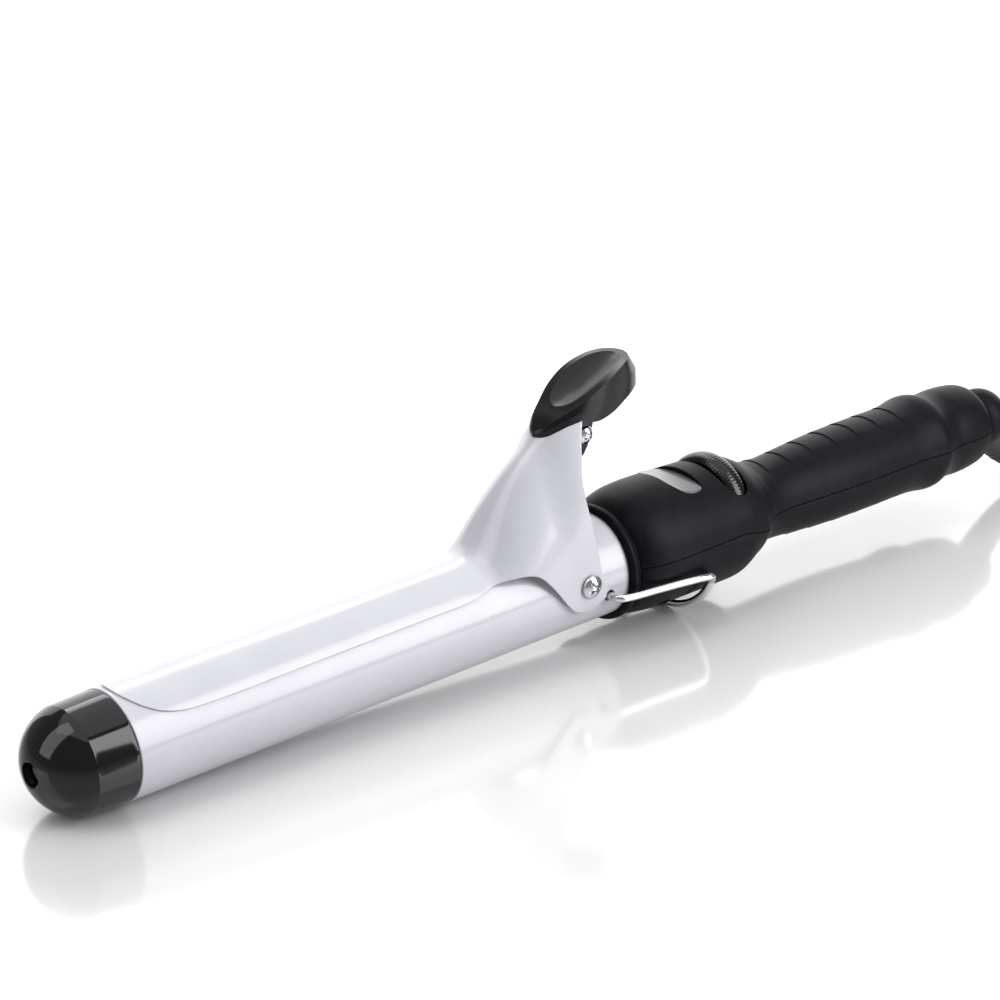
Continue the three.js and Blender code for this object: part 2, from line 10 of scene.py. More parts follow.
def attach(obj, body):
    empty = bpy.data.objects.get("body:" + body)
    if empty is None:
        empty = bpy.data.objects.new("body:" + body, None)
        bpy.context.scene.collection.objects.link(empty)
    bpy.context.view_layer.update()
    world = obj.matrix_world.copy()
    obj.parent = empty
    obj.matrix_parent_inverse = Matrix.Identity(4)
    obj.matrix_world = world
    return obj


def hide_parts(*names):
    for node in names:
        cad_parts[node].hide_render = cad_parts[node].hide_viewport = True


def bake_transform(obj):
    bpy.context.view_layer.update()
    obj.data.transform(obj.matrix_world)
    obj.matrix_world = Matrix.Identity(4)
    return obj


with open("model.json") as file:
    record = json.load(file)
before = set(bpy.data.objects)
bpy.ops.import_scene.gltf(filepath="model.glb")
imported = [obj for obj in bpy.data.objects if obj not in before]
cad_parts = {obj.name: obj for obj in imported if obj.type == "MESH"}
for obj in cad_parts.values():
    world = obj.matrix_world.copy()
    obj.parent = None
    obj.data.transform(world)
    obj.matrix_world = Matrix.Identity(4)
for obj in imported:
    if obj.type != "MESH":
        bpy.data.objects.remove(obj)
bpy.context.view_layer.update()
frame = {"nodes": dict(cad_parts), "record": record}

# ---- iron coordinates: millimetres, x = 0 at the front of the barrel, its axis at y = z = 0 ----
# The frame's joints say where the iron lies: the swivel gives its direction and the clip's pivot its place.
MM = 0.001
ROOT = "handle_and_barrel"
joints = {joint["name"]: joint for joint in frame["record"]["behaviour"]["joints"]}
PIVOT_X, PIVOT_Z = 160.0, 3.5
along = Vector(joints["cord_swivel"]["axis"]).normalized()
across = Vector((0, 1, 0))
upward = along.cross(across)
zero = Vector(joints["clip_hinge"]["pos_m"]) - along * PIVOT_X * MM - upward * PIVOT_Z * MM
AXES = Matrix((along, across, upward)).transposed().to_4x4()
PLACE = Matrix.Translation(zero) @ AXES
IRON = PLACE @ Matrix.Scale(MM, 4)
ROW = Matrix.Scale(MM, 4)

# ---- driving sizes, millimetres ----
BARREL_R, BARREL_INSIDE_R, BARREL_END = 16.0, 15.1, 189.0
TIP_SHOULDER_X = -13.2
TIP_SHOULDER_R = 15.4
TIP_NOSE_R = 15.9
TIP_HOLE_R = 3.6
CLIP_R = 16.85
CLIP_SIDE_R = 17.6
CLIP_FRONT = 1.2
HORN_START = 118.0
CLIP_REAR = 173.0
SHEET = 0.6
TAB_Z, STEM_HALF = 44.6, 4.6
HANDLE_START = 181.5
HANDLE_END = 349.0
PARTING_Z = 1.0
DIAL_X, DIAL_Z = 226.0, 6.3
STAND_X, STAND_Z = 169.5, -3.0
STAND_BAR_X, STAND_BAR_R, WIRE_R = 208.0, 21.9, 1.25
CORD_R = 3.0
PIN_HOLE_R = 1.9


# ---- materials ----
def surface(
    name, dark, light, roughness,
    metallic=0.0, coat=0.0, grain=400.0, bump=0.02, spread=0.06, gloss=0.5,
):
    """A procedural finish: colour drifting between two tones, uneven roughness and a fine bump.

    grain is the scale of the fine noise, spread the unevenness of the roughness, gloss the specular level.
    """
    mat = bpy.data.materials.new(name)
    mat.use_nodes = True
    nodes, links = mat.node_tree.nodes, mat.node_tree.links
    shader = nodes["Principled BSDF"]
    shader.inputs["Metallic"].default_value = metallic
    shader.inputs["Coat Weight"].default_value = coat
    shader.inputs["Coat Roughness"].default_value = 0.08
    shader.inputs["Specular IOR Level"].default_value = gloss
    place = nodes.new("ShaderNodeTexCoord")
    cloud = nodes.new("ShaderNodeTexNoise")
    cloud.inputs["Scale"].default_value = grain * 0.12
    cloud.inputs["Detail"].default_value = 4
    links.new(place.outputs["Object"], cloud.inputs["Vector"])
    tones = nodes.new("ShaderNodeValToRGB")
    tones.color_ramp.elements[0].position = 0.35
    tones.color_ramp.elements[0].color = (*dark, 1)
    tones.color_ramp.elements[1].position = 0.65
    tones.color_ramp.elements[1].color = (*light, 1)
    links.new(cloud.outputs["Fac"], tones.inputs["Fac"])
    links.new(tones.outputs["Color"], shader.inputs["Base Color"])
    fine = nodes.new("ShaderNodeTexNoise")
    fine.inputs["Scale"].default_value = grain
    fine.inputs["Detail"].default_value = 3
    links.new(place.outputs["Object"], fine.inputs["Vector"])
    rough = nodes.new("ShaderNodeMapRange")
    rough.inputs["To Min"].default_value = max(roughness - spread, 0.02)
    rough.inputs["To Max"].default_value = roughness + spread
    links.new(fine.outputs["Fac"], rough.inputs["Value"])
    links.new(rough.outputs["Result"], shader.inputs["Roughness"])
    relief = nodes.new("ShaderNodeBump")
    relief.inputs["Strength"].default_value = bump
    relief.inputs["Distance"].default_value = 0.0003
    links.new(fine.outputs["Fac"], relief.inputs["Height"])
    links.new(relief.outputs["Normal"], shader.inputs["Normal"])
    return mat


WHITE = surface(
    "white_coat", (0.47, 0.47, 0.51), (0.49, 0.49, 0.53), 0.3, coat=0.25, grain=500, bump=0.012,
)
CAP_BLACK = surface(
    "tip_gloss", (0.003, 0.003, 0.0034), (0.005, 0.005, 0.006), 0.07, bump=0.006, spread=0.02, gloss=0.36,
)
SATIN = surface(
    "handle_satin", (0.003, 0.0034, 0.005), (0.005, 0.0054, 0.007), 0.42, grain=2200, bump=0.03, gloss=0.08,
)
THUMB_BLACK = surface(
    "thumb_satin", (0.003, 0.003, 0.004), (0.005, 0.005, 0.006), 0.24,
    grain=1800, bump=0.008, spread=0.03, gloss=0.26,
)
DIAL_BLACK = surface(
    "dial_gloss", (0.003, 0.003, 0.004), (0.005, 0.005, 0.006), 0.13, bump=0.01, gloss=0.35,
)
RUBBER = surface("cord_rubber", (0.014, 0.014, 0.015), (0.024, 0.024, 0.026), 0.58, grain=2600, bump=0.2)
CHROME = surface(
    "chrome", (0.62, 0.63, 0.66), (0.72, 0.73, 0.76), 0.09, metallic=1.0, bump=0.02, spread=0.03,
)
STEEL = surface("steel", (0.42, 0.43, 0.44), (0.56, 0.57, 0.58), 0.34, metallic=1.0, bump=0.08)
ALUMINIUM = surface("aluminium", (0.60, 0.61, 0.62), (0.72, 0.73, 0.74), 0.38, metallic=1.0, bump=0.1)
CERAMIC = surface("ceramic", (0.70, 0.66, 0.58), (0.80, 0.77, 0.70), 0.6, bump=0.15)
LENS = surface("grey_lens", (0.07, 0.071, 0.076), (0.085, 0.086, 0.092), 0.3, coat=0.25, bump=0.01)
BOARD = surface("board", (0.03, 0.12, 0.07), (0.05, 0.19, 0.11), 0.45, bump=0.1)
BRASS = surface("brass", (0.62, 0.46, 0.18), (0.74, 0.58, 0.26), 0.28, metallic=1.0, bump=0.05)
RED = surface("red_wire", (0.35, 0.03, 0.02), (0.46, 0.05, 0.04), 0.5)
BLUE = surface("blue_wire", (0.03, 0.08, 0.30), (0.05, 0.12, 0.40), 0.5)
LAMP_RED = surface("lamp_red", (0.50, 0.05, 0.04), (0.62, 0.08, 0.06), 0.2, coat=0.5)
LAMP_GREEN = surface("lamp_green", (0.06, 0.42, 0.12), (0.09, 0.52, 0.16), 0.2, coat=0.5)


# ---- camera: it looks at a point near the iron, in iron coordinates ----
CAMERA_AZIMUTH = math.radians(-41.706)
CAMERA_ELEVATION = math.radians(23.207)
CAMERA_DISTANCE = 872.99
CAMERA_TARGET = Vector((139.78, 0.02, 31.27))
camera = bpy.data.objects.new("camera", bpy.data.cameras.new("camera"))
bpy.context.scene.collection.objects.link(camera)
bpy.context.scene.camera = camera
camera.data.sensor_width = 36.0
camera.data.lens = 108.23
camera.data.clip_start = 0.01
camera.data.clip_end = 20.0
back = Vector((
    math.sin(CAMERA_AZIMUTH) * math.cos(CAMERA_ELEVATION),
    -math.cos(CAMERA_AZIMUTH) * math.cos(CAMERA_ELEVATION),
    math.sin(CAMERA_ELEVATION),
))
turn = (-back).to_track_quat("-Z", "Y").to_matrix().to_4x4()
stand_at = Matrix.Translation((CAMERA_TARGET + back * CAMERA_DISTANCE) * MM)
camera.matrix_world = PLACE @ stand_at @ turn


# ---- mesh helpers ----
SAME_POINT = 1e-5


def catmull(points, steps):
    """A smooth curve through the points, with the same number of steps in each span.

    The knots are spaced by the square root of the distances, so that the curve doesn't loop or overshoot.
    """
    points = [Vector(p) for p in points]
    ends = [points[0] * 2 - points[1]] + points + [points[-1] * 2 - points[-2]]
    out = []
    for i in range(1, len(ends) - 2):
        p0, p1, p2, p3 = ends[i - 1:i + 3]
        k0 = 0.0
        k1 = k0 + math.sqrt((p1 - p0).length)
        k2 = k1 + math.sqrt((p2 - p1).length)
        k3 = k2 + math.sqrt((p3 - p2).length)
        for s in range(steps):
            k = k1 + (k2 - k1) * s / steps
            a = p0.lerp(p1, (k - k0) / (k1 - k0))
            b = p1.lerp(p2, (k - k1) / (k2 - k1))
            c = p2.lerp(p3, (k - k2) / (k3 - k2))
            d = a.lerp(b, (k - k0) / (k2 - k0))
            e = b.lerp(c, (k - k1) / (k3 - k1))
            out.append(d.lerp(e, (k - k1) / (k2 - k1)))
    return out + [points[-1]]


def table_curve(points, steps=24):
    """A smooth function of x through (x, value) points, constant before the first and after the last."""
    samples = [(p.x, p.y) for p in catmull([(x, v, 0) for x, v in points], steps)]

    def value(x):
        if x <= samples[0][0]:
            return samples[0][1]
        for (x0, v0), (x1, v1) in zip(samples, samples[1:]):
            if x <= x1:
                return v0 + (v1 - v0) * (x - x0) / max(x1 - x0, 1e-9)
        return samples[-1][1]

    return value


def spaced(start, stop, count):
    """count numbers from start to stop, both included."""
    return [start + (stop - start) * i / (count - 1) for i in range(count)]


def ease(t):
    """A smooth step from 0 at t = 0 to 1 at t = 1."""
    t = min(max(t, 0.0), 1.0)
    return t * t * (3 - 2 * t)


def piece(name, bm, mat, matrix=None, smooth=40):
    """Turns a bmesh into a smooth-shaded object; the matrix takes its millimetres to the row frame."""
    bmesh.ops.remove_doubles(bm, verts=bm.verts, dist=SAME_POINT)
    bmesh.ops.recalc_face_normals(bm, faces=bm.faces)
    mesh = bpy.data.meshes.new(name)
    bm.to_mesh(mesh)
    bm.free()
    mesh.transform(IRON if matrix is None else matrix)
    obj = bpy.data.objects.new(name, mesh)
    bpy.context.scene.collection.objects.link(obj)
    mesh.materials.append(mat)
    shade(obj, smooth)
    return obj


def shade(obj, degrees):
    """Smooth shading, with a hard edge wherever faces meet at more than the given angle."""
    mesh = obj.data
    mesh.polygons.foreach_set("use_smooth", [True] * len(mesh.polygons))
    mesh.set_sharp_from_angle(angle=math.radians(degrees))


def rows_mesh(rows, caps=False):
    """A surface through rows of points, each row closed on itself; caps close the first and the last."""
    bm = bmesh.new()
    grid = [[bm.verts.new(p) for p in row] for row in rows]
    count = len(rows[0])
    for a, b in zip(grid, grid[1:]):
        for k in range(count):
            n = (k + 1) % count
            bm.faces.new((a[k], a[n], b[n], b[k]))
    if caps:
        bm.faces.new(grid[0][::-1])
        bm.faces.new(grid[-1])
    return bm


def sheet_mesh(outside, inside):
    """A sheet with a thickness, from rows of points on its outside and its inside."""
    loops = [outer + inner[::-1] for outer, inner in zip(outside, inside)]
    columns = len(outside[0])
    bm = rows_mesh(loops)
    bm.verts.ensure_lookup_table()
    for index in (0, len(loops) - 1):
        first = index * 2 * columns
        for k in range(columns - 1):
            corners = [first + k, first + k + 1, first + 2 * columns - 2 - k, first + 2 * columns - 1 - k]
            bm.faces.new([bm.verts[c] for c in corners])
    return bm


def moved(bm, matrix):
    """The same bmesh, transformed."""
    bmesh.ops.transform(bm, matrix=matrix, verts=bm.verts)
    return bm


def turned(profile, segments=128):
    """A profile of (x, radius) points turned about the X axis. A closed profile ends where it starts."""
    angles = [2 * math.pi * k / segments for k in range(segments)]
    bm = rows_mesh([[(x, r * math.cos(a), r * math.sin(a)) for a in angles] for x, r in profile])
    bmesh.ops.remove_doubles(bm, verts=bm.verts, dist=SAME_POINT)
    return bm


def rod(start, stop, radius, segments=40):
    """A round bar along X, to cut holes with."""
    return turned([(start, 0), (start, radius), (stop, radius), (stop, 0)], segments)


def box_mesh(x0, x1, y0, y1, z0, z1):
    """A block between the given limits."""
    bm = bmesh.new()
    bmesh.ops.create_cube(bm, size=1)
    spot = Matrix.Translation(((x0 + x1) / 2, (y0 + y1) / 2, (z0 + z1) / 2))
    return moved(bm, spot @ Matrix.Diagonal((x1 - x0, y1 - y0, z1 - z0, 1)))


def side_prism(points, half):
    """A side outline of (x, z) points, as wide as 2 * half."""
    bm = bmesh.new()
    near = [bm.verts.new((x, -half, z)) for x, z in points]
    far = [bm.verts.new((x, half, z)) for x, z in points]
    bm.faces.new(near)
    bm.faces.new(far[::-1])
    for k in range(len(points)):
        n = (k + 1) % len(points)
        bm.faces.new((near[k], far[k], far[n], near[n]))
    return bm


def arc(cx, cr, radius, start, stop, count=8):
    """Points (x, r) of an arc about (cx, cr), angles in degrees."""
    return [
        (cx + radius * math.cos(math.radians(a)), cr + radius * math.sin(math.radians(a)))
        for a in spaced(start, stop, count)
    ]


def sweep(points, radius, sides=24):
    """A round bar through the points. radius is a number or a function of the fraction of length."""
    points = [Vector(p) for p in points]
    total = [0.0]
    for a, b in zip(points, points[1:]):
        total.append(total[-1] + (b - a).length)
    side = None
    rows = []
    for i, p in enumerate(points):
        ahead = (points[min(i + 1, len(points) - 1)] - points[max(i - 1, 0)]).normalized()
        if side is None:
            side = ahead.orthogonal().normalized()
        side = (side - ahead * side.dot(ahead)).normalized()
        other = ahead.cross(side)
        r = radius(total[i] / total[-1]) if callable(radius) else radius
        angles = [2 * math.pi * k / sides for k in range(sides)]
        rows.append([p + side * r * math.cos(a) + other * r * math.sin(a) for a in angles])
    return rows_mesh(rows, caps=True)


def rib_groove(t, start, stop, ribs, depth):
    """How deep a ribbed sleeve is cut at t: rounded ribs from start to stop, and none outside them."""
    if t < start or t > stop:
        return 0.0
    return depth * (1 - abs(math.sin(math.pi * ribs * (t - start) / (stop - start))) ** 0.5)


def apply_modifiers(obj):
    """Replaces the mesh with what its modifiers make of it."""
    evaluated = obj.evaluated_get(bpy.context.evaluated_depsgraph_get())
    mesh = bpy.data.meshes.new_from_object(evaluated)
    obj.modifiers.clear()
    obj.data = mesh


def cut_with(obj, tool, operation="DIFFERENCE"):
    """Cuts the tool away from the object, or joins it with UNION, and removes the tool."""
    modifier = obj.modifiers.new("cut", "BOOLEAN")
    modifier.operation = operation
    modifier.solver = "EXACT"
    modifier.object = tool
    apply_modifiers(obj)
    bpy.data.objects.remove(tool)


def round_edges(obj, width, segments, degrees):
    """Rounds the edges where faces meet at more than the given angle."""
    modifier = obj.modifiers.new("edges", "BEVEL")
    modifier.width = width * MM
    modifier.segments = segments
    modifier.limit_method = "ANGLE"
    modifier.angle_limit = math.radians(degrees)
    modifier.use_clamp_overlap = True
    apply_modifiers(obj)


def fit(obj, body, slot, *nodes):
    """Gives a piece its body and hides the CAD nodes that it stands for; slot is not used."""
    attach(obj, body)
    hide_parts(*nodes)
    return obj


# ---- cord: its route in the row frame, millimetres; the boot's points are in iron coordinates ----
HANK_X, HANK_STRAIGHT = 262.0, 67.0
HANK_END_X = HANK_X + HANK_STRAIGHT
OUTER, INNER = 24.0, 18.0
FIRST_LAYER, PITCH = 4.5, 6.0
boot_points = [(358, 0, -3), (364, 0, -9.5), (371, 0, -15.5), (379, 0, -20), (388, 0, -23.2)]
boot_curve = catmull(boot_points, 12)
boot_end = (PLACE @ (boot_curve[-1] * MM)) / MM
boot_way = (AXES.to_3x3() @ (boot_curve[-1] - boot_curve[-2])).normalized()
exit_point = boot_end - boot_way * 2.0
lead_route = [
    exit_point, boot_end + boot_way * 0.3, (214, 0, 4.2), (220, 0.6, 3.4), (228, 3.4, 3.1),
    (236, 8.6, 3.1), (244, 14.8, 3.4), (252, 20.2, 4.0), (HANK_X, OUTER, FIRST_LAYER),
]
TOP_LAYER = FIRST_LAYER + 3 * PITCH
PLUG_X, PLUG_AXIS = 404.0, 7.0
tail_route = [
    (HANK_END_X, INNER, TOP_LAYER), (344, 17.6, TOP_LAYER), (356, 15.6, 20.6), (368, 11.6, 15.6),
    (380, 6.8, 10.6), (392, 2.4, 7.6), (PLUG_X, 0, PLUG_AXIS), (PLUG_X + 4, 0, PLUG_AXIS),
]
# Column and layer of each lap; a lap is a little short of a full turn, so that no two crossings meet.
LAPS = [(OUTER, 0), (INNER, 0), (INNER, 1), (OUTER, 1), (OUTER, 2), (INNER, 2), (INNER, 3)]
CROSSING = 1 / 7
TURNS, TURN_STEPS = 6, 44


def racetrack(u, r):
    """The point at a fraction u of the loop, whose ends have radius r: along, round, back, round."""
    middle = (OUTER + INNER) / 2
    run = HANK_STRAIGHT / (2 * HANK_STRAIGHT + 2 * math.pi * middle)
    fold = 0.5 - run
    u = u % 1.0
    if u < run:
        return HANK_X + HANK_STRAIGHT * u / run, r
    if u < 0.5:
        angle = math.pi * (u - run) / fold
        return HANK_END_X + r * math.sin(angle), r * math.cos(angle)
    if u < 0.5 + run:
        return HANK_END_X - HANK_STRAIGHT * (u - 0.5) / run, -r
    angle = math.pi * (u - 0.5 - run) / fold
    return HANK_X - r * math.sin(angle), -r * math.cos(angle)


def hank_points():
    """The cord's centre through the turns of the hank, ending with the last straight of the top layer."""
    out = []
    for i in range(TURN_STEPS * TURNS):
        turns = i / TURN_STEPS
        lap = turns / (1 - CROSSING)
        here = min(int(lap), len(LAPS) - 1)
        then = min(here + 1, len(LAPS) - 1)
        change = ease(((lap - here) * (1 - CROSSING) - (1 - 2 * CROSSING)) / CROSSING)
        r = LAPS[here][0] + (LAPS[then][0] - LAPS[here][0]) * change
        layer = LAPS[here][1] + (LAPS[then][1] - LAPS[here][1]) * change
        x, y = racetrack(turns, r)
        out.append(Vector((x, y, FIRST_LAYER + layer * PITCH)))
    for x in spaced(HANK_X, HANK_END_X, 8)[:-1]:
        out.append(Vector((x, INNER, TOP_LAYER)))
    return out


cord_line = catmull(lead_route, 6)[:-1] + hank_points() + catmull(tail_route, 6)
cord = piece("mains_cord", sweep(cord_line, CORD_R, 16), RUBBER, ROW, 60)
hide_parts("cord_lead", "cord_hank", "cord_tail")
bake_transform(cord)


# ---- tip: a slightly tapered skirt, a crease, and a spherical nose with a hole ----
SKIRT_TAPER = 0.038
CAP_REAR, CAP_LIP_R = -0.25, 0.25
HOLE_FLOOR_X, SEAT_X, SCREW_BORE_R = -20.5, -17.5, 1.9
SPIGOT_END, SPIGOT_R, SPIGOT_RIM_R = 7.0, 13.2, 14.7
nose_rim = math.asin(TIP_SHOULDER_R / TIP_NOSE_R)
hole_angle = math.asin(TIP_HOLE_R / TIP_NOSE_R)
nose_centre = TIP_SHOULDER_X + TIP_NOSE_R * math.cos(nose_rim)
dome = [
    (nose_centre - TIP_NOSE_R * math.cos(a), TIP_NOSE_R * math.sin(a))
    for a in spaced(nose_rim, hole_angle + 0.02, 36)
]
hole_x = nose_centre - TIP_NOSE_R * math.cos(hole_angle)
skirt = [
    (x, BARREL_R - 0.1 + x * SKIRT_TAPER)
    for x in spaced(-0.8, TIP_SHOULDER_X + 0.05, 14)
]
cap_profile = [(CAP_REAR, SPIGOT_RIM_R), (CAP_REAR, BARREL_R - 0.4)]
cap_profile += arc(-0.5, BARREL_R - 0.38, CAP_LIP_R, 0, 90, 12) + skirt + dome
cap_profile += [
    (hole_x + 0.2, TIP_HOLE_R), (HOLE_FLOOR_X, TIP_HOLE_R - 0.2), (HOLE_FLOOR_X, SCREW_BORE_R),
    (SEAT_X, SCREW_BORE_R), (SEAT_X, 8.0), (-14.0, 12.2), (SPIGOT_END, SPIGOT_R),
    (SPIGOT_END, SPIGOT_RIM_R), (CAP_REAR, SPIGOT_RIM_R),
]
cool_tip = piece("cool_tip", turned(cap_profile, 160), CAP_BLACK, smooth=9)
fit(cool_tip, ROOT, "tip_gloss", "tip_cap")

# ---- barrel: a drawn tube with holes for the clip's pivots and the stand ----
barrel_profile = [(0.0, BARREL_INSIDE_R), (0.0, BARREL_R - 0.2), (0.2, BARREL_R)]
barrel_profile += [(x, BARREL_R) for x in spaced(4, 176, 30)]
barrel_profile += [(BARREL_END, BARREL_R), (BARREL_END, BARREL_INSIDE_R), (0.0, BARREL_INSIDE_R)]
barrel = piece("coated_barrel", turned(barrel_profile, 160), WHITE)
for x, z in ((PIVOT_X, PIVOT_Z), (STAND_X, STAND_Z)):
    across_barrel = Matrix.Translation((x, 0, z)) @ Matrix.Rotation(math.pi / 2, 4, "Z")
    cut_with(barrel, piece("drill", moved(rod(-20, 20, PIN_HOLE_R, 32), across_barrel), WHITE))
shade(barrel, 40)
fit(barrel, ROOT, "white_coat", "barrel_tube")

# ---- clip: a long leaf, two ears and the horn, one sheet ----
# clip_edge is the height of the sheet's lower edge, and ridge_at that of its top, at each x.
clip_edge = table_curve([
    (CLIP_FRONT, 17), (1.35, 16.6), (1.9, 16.1), (3.2, 15.2), (5.4, 13.8), (8, 12.5), (11, 11.4),
    (17, 10.2), (30, 9.9), (60, 10.1), (100, 10.3), (117, 10.5), (125, 11.6), (132, 12.9), (137, 12.9),
    (140.5, 11.9), (143.5, 9.4), (147.5, 4.6), (151, 0), (154, -2.9), (157, -4.3), (160, -4.7),
    (163, -4.0), (165.6, -2.2), (CLIP_REAR, -0.9),
])
ridge_at = table_curve([
    (110, CLIP_R), (119, CLIP_R), (122.5, 16.95), (126, 17.5), (128.6, 19.2), (130.8, 21.9),
    (133.4, 25.9), (136.8, 31.2), (141, 36.5), (145.5, 41.1), (151, 45.7), (153.5, 48.2), (157, 52.5),
    (161, 56.5), (166, 59.5), (CLIP_REAR, 61),
], 12)
# Towards its front end the leaf lies closer to the barrel.
HUG, HUG_LENGTH = 0.3, 45


def horn_power(x):
    """The exponent of the section: round on the leaf and a little pointed on the horn."""
    return 2 - 0.25 * ease((x - HORN_START) / 12) + 0.22 * ease((x - 148) / 12)


def clip_point(x, t, inset):
    """A point of the clip: t runs from -1 at the near edge to +1 at the far edge."""
    hug = HUG * (1 - ease(x / HUG_LENGTH))
    half = CLIP_R + (CLIP_SIDE_R - CLIP_R) * ease((x - HORN_START) / 14) - inset - hug
    ridge, power = ridge_at(x) - hug, 2 / horn_power(x)
    edge = min(clip_edge(x), ridge)
    reach = math.acos((edge / ridge) ** (1 / power)) if edge > 0 else math.acos(edge / CLIP_SIDE_R)
    upright, sideways = math.cos(reach * t), math.sin(reach * t)
    if upright <= 0:
        return Vector((x, half * sideways, (CLIP_SIDE_R - inset) * upright))
    y = half * math.copysign(abs(sideways) ** power, sideways)
    return Vector((x, y, (ridge - inset) * upright ** power))


# The stations are dense where the front edge curves in and where the horn rises.
clip_stations = [CLIP_FRONT + 0.02 * i * i for i in range(1, 29)] + spaced(20, 112, 18)
clip_stations += spaced(114, 127, 14) + spaced(127.25, 134, 28) + spaced(134.5, CLIP_REAR, 78)
across_clip = spaced(-1, 1, 120)
outside = [[clip_point(x, t, 0) for t in across_clip] for x in clip_stations]
inside = [[clip_point(x, t, SHEET) for t in across_clip] for x in clip_stations]
clip = piece("clip_sheet", sheet_mesh(outside, inside), WHITE)

# The sheet is cut off behind its hollow rear edge and above the slanting foot of the thumb rest.
rear_edge = catmull([
    (166.3, 0, -8), (166.3, 0, 0), (165, 0, 4), (164.2, 0, 7.6), (163.5, 0, 12.4), (162.3, 0, 17.6),
    (161.5, 0, 22.8), (160.7, 0, 27), (160.2, 0, 31), (160.1, 0, 35.4), (160.5, 0, 38.6),
    (161.2, 0, 41.8), (161.9, 0, 45), (163.1, 0, 48.6), (165.4, 0, 54),
], 4)
behind = [(p.x, p.z) for p in rear_edge] + [(190, 54), (190, -8)]
above = [(146, 45.1), (176, 57.6), (176, 80), (146, 80)]
cut_with(clip, piece("behind", side_prism(behind, 30), WHITE))
cut_with(clip, piece("above", side_prism(above, 30), WHITE))
tab = box_mesh(152.5, 167.5, -STEM_HALF, STEM_HALF, TAB_Z - 0.6, TAB_Z + 0.4)
cut_with(clip, piece("tab", tab, WHITE), "UNION")
round_edges(clip, 0.1, 2, 50)
shade(clip, 35)
fit(clip, "clip", "white_coat", "clip_plate")

# ---- thumb rest: a boat-shaped paddle with an oval dish, on a stem that stands in the horn ----
# The three curves give the far half of its top rim, its widest line and its lower edge.
paddle_rim = catmull([
    (152.8, 0.3, 49.4), (154.4, 2.6, 50.9), (156.9, 4.55, 52.9), (160.8, 6.45, 55.1), (165.9, 8.5, 58.2),
    (172.4, 9.4, 61.7), (177.5, 8.75, 63.8), (182, 7.35, 65.1), (185.2, 5.5, 65.6), (187.5, 2.9, 65.75),
    (188.3, 0.3, 65.8),
], 8)
paddle_side = catmull([
    (152.5, 0.3, 48.5), (153.7, 2.7, 49.3), (156.0, 4.8, 50.9), (160.0, 6.8, 53.0), (165.2, 8.6, 55.0),
    (171.6, 9.3, 56.2), (177.8, 8.8, 57.8), (183.2, 7.4, 59.4), (187.3, 5.5, 60.1), (190.9, 3.0, 60.3),
    (192.4, 0.3, 60.3),
], 8)
paddle_foot = catmull([
    (152.6, 0.3, 47.6), (153.5, 2.4, 47.8), (155.6, 4.6, 48.6), (159.4, 6.8, 50.2), (164.4, 8.1, 51.3),
    (170.6, 8.5, 50.2), (177.1, 8.0, 51.2), (183.0, 6.8, 53.2), (187.8, 5.0, 54.4), (191.4, 2.8, 55.2),
    (193.4, 0.3, 55.4),
], 8)
DISH_X, DISH_LENGTH, DISH_HALF, DISH_DEPTH = 173.3, 12.4, 7.2, 1.9


def dish_row(rim):
    """Points across the top at one station: a flat border, then the dish, from near to far."""
    length = (rim.x - DISH_X) / DISH_LENGTH
    half = DISH_HALF * math.sqrt(max(1 - length * length, 0))
    out = []
    for share in spaced(-1, 1, 25):
        y = half * math.sin(share * math.pi / 2)
        drop = DISH_DEPTH * max(1 - length * length - (y / DISH_HALF) ** 2, 0)
        out.append(Vector((rim.x, y, rim.z - drop)))
    return out


paddle_rows = []
for rim, side, foot in zip(paddle_rim, paddle_side, paddle_foot):
    near = [Vector((p.x, -p.y, p.z)) for p in (foot, side, rim)]
    far = [rim, side, foot]
    paddle_rows.append([Vector((foot.x, 0, foot.z))] + near + dish_row(rim) + far)
thumb = piece("thumb_paddle", rows_mesh(paddle_rows, caps=True), THUMB_BLACK)
stem_outline = [
    (158.5, 37), (167.2, 37), (169.5, 38.6), (171.2, 41.2), (172.3, 44.5), (173.2, 48), (175.5, 53),
    (158.5, 53),
]
stem = piece("stem", side_prism(stem_outline, STEM_HALF), THUMB_BLACK)
round_edges(stem, 1.6, 4, 35)
cut_with(thumb, stem, "UNION")
round_edges(thumb, 0.3, 2, 34)
shade(thumb, 14)
fit(thumb, "clip", "thumb_satin", "thumb_rest")


# ---- screws with crossed recesses ----
def cross_screw(name, head_r, head_h, stem_r, stem_length, spot, mat):
    """A domed head with a crossed recess, on a stem; its face points to +X before spot places it."""
    profile = [
        (head_h * (1 - (r / head_r) ** 2) * 0.75 + head_h * 0.25, r)
        for r in spaced(0, head_r * 0.96, 12)
    ]
    profile += [(head_h * 0.12, head_r), (0, head_r), (0, stem_r)]
    profile += [(-stem_length, stem_r), (-stem_length, 0)]
    obj = piece(name, turned(profile, 64), mat, IRON @ spot)
    reach, half_width = head_r * 0.66, head_r * 0.17
    for quarter in (0, math.pi / 2):
        slot = box_mesh(head_h * 0.2, head_h * 2, -reach, reach, -half_width, half_width)
        cut_with(obj, piece("slot", slot, mat, IRON @ spot @ Matrix.Rotation(quarter + 0.6, 4, "X")))
    round_edges(obj, 0.08, 2, 40)
    shade(obj, 40)
    return obj


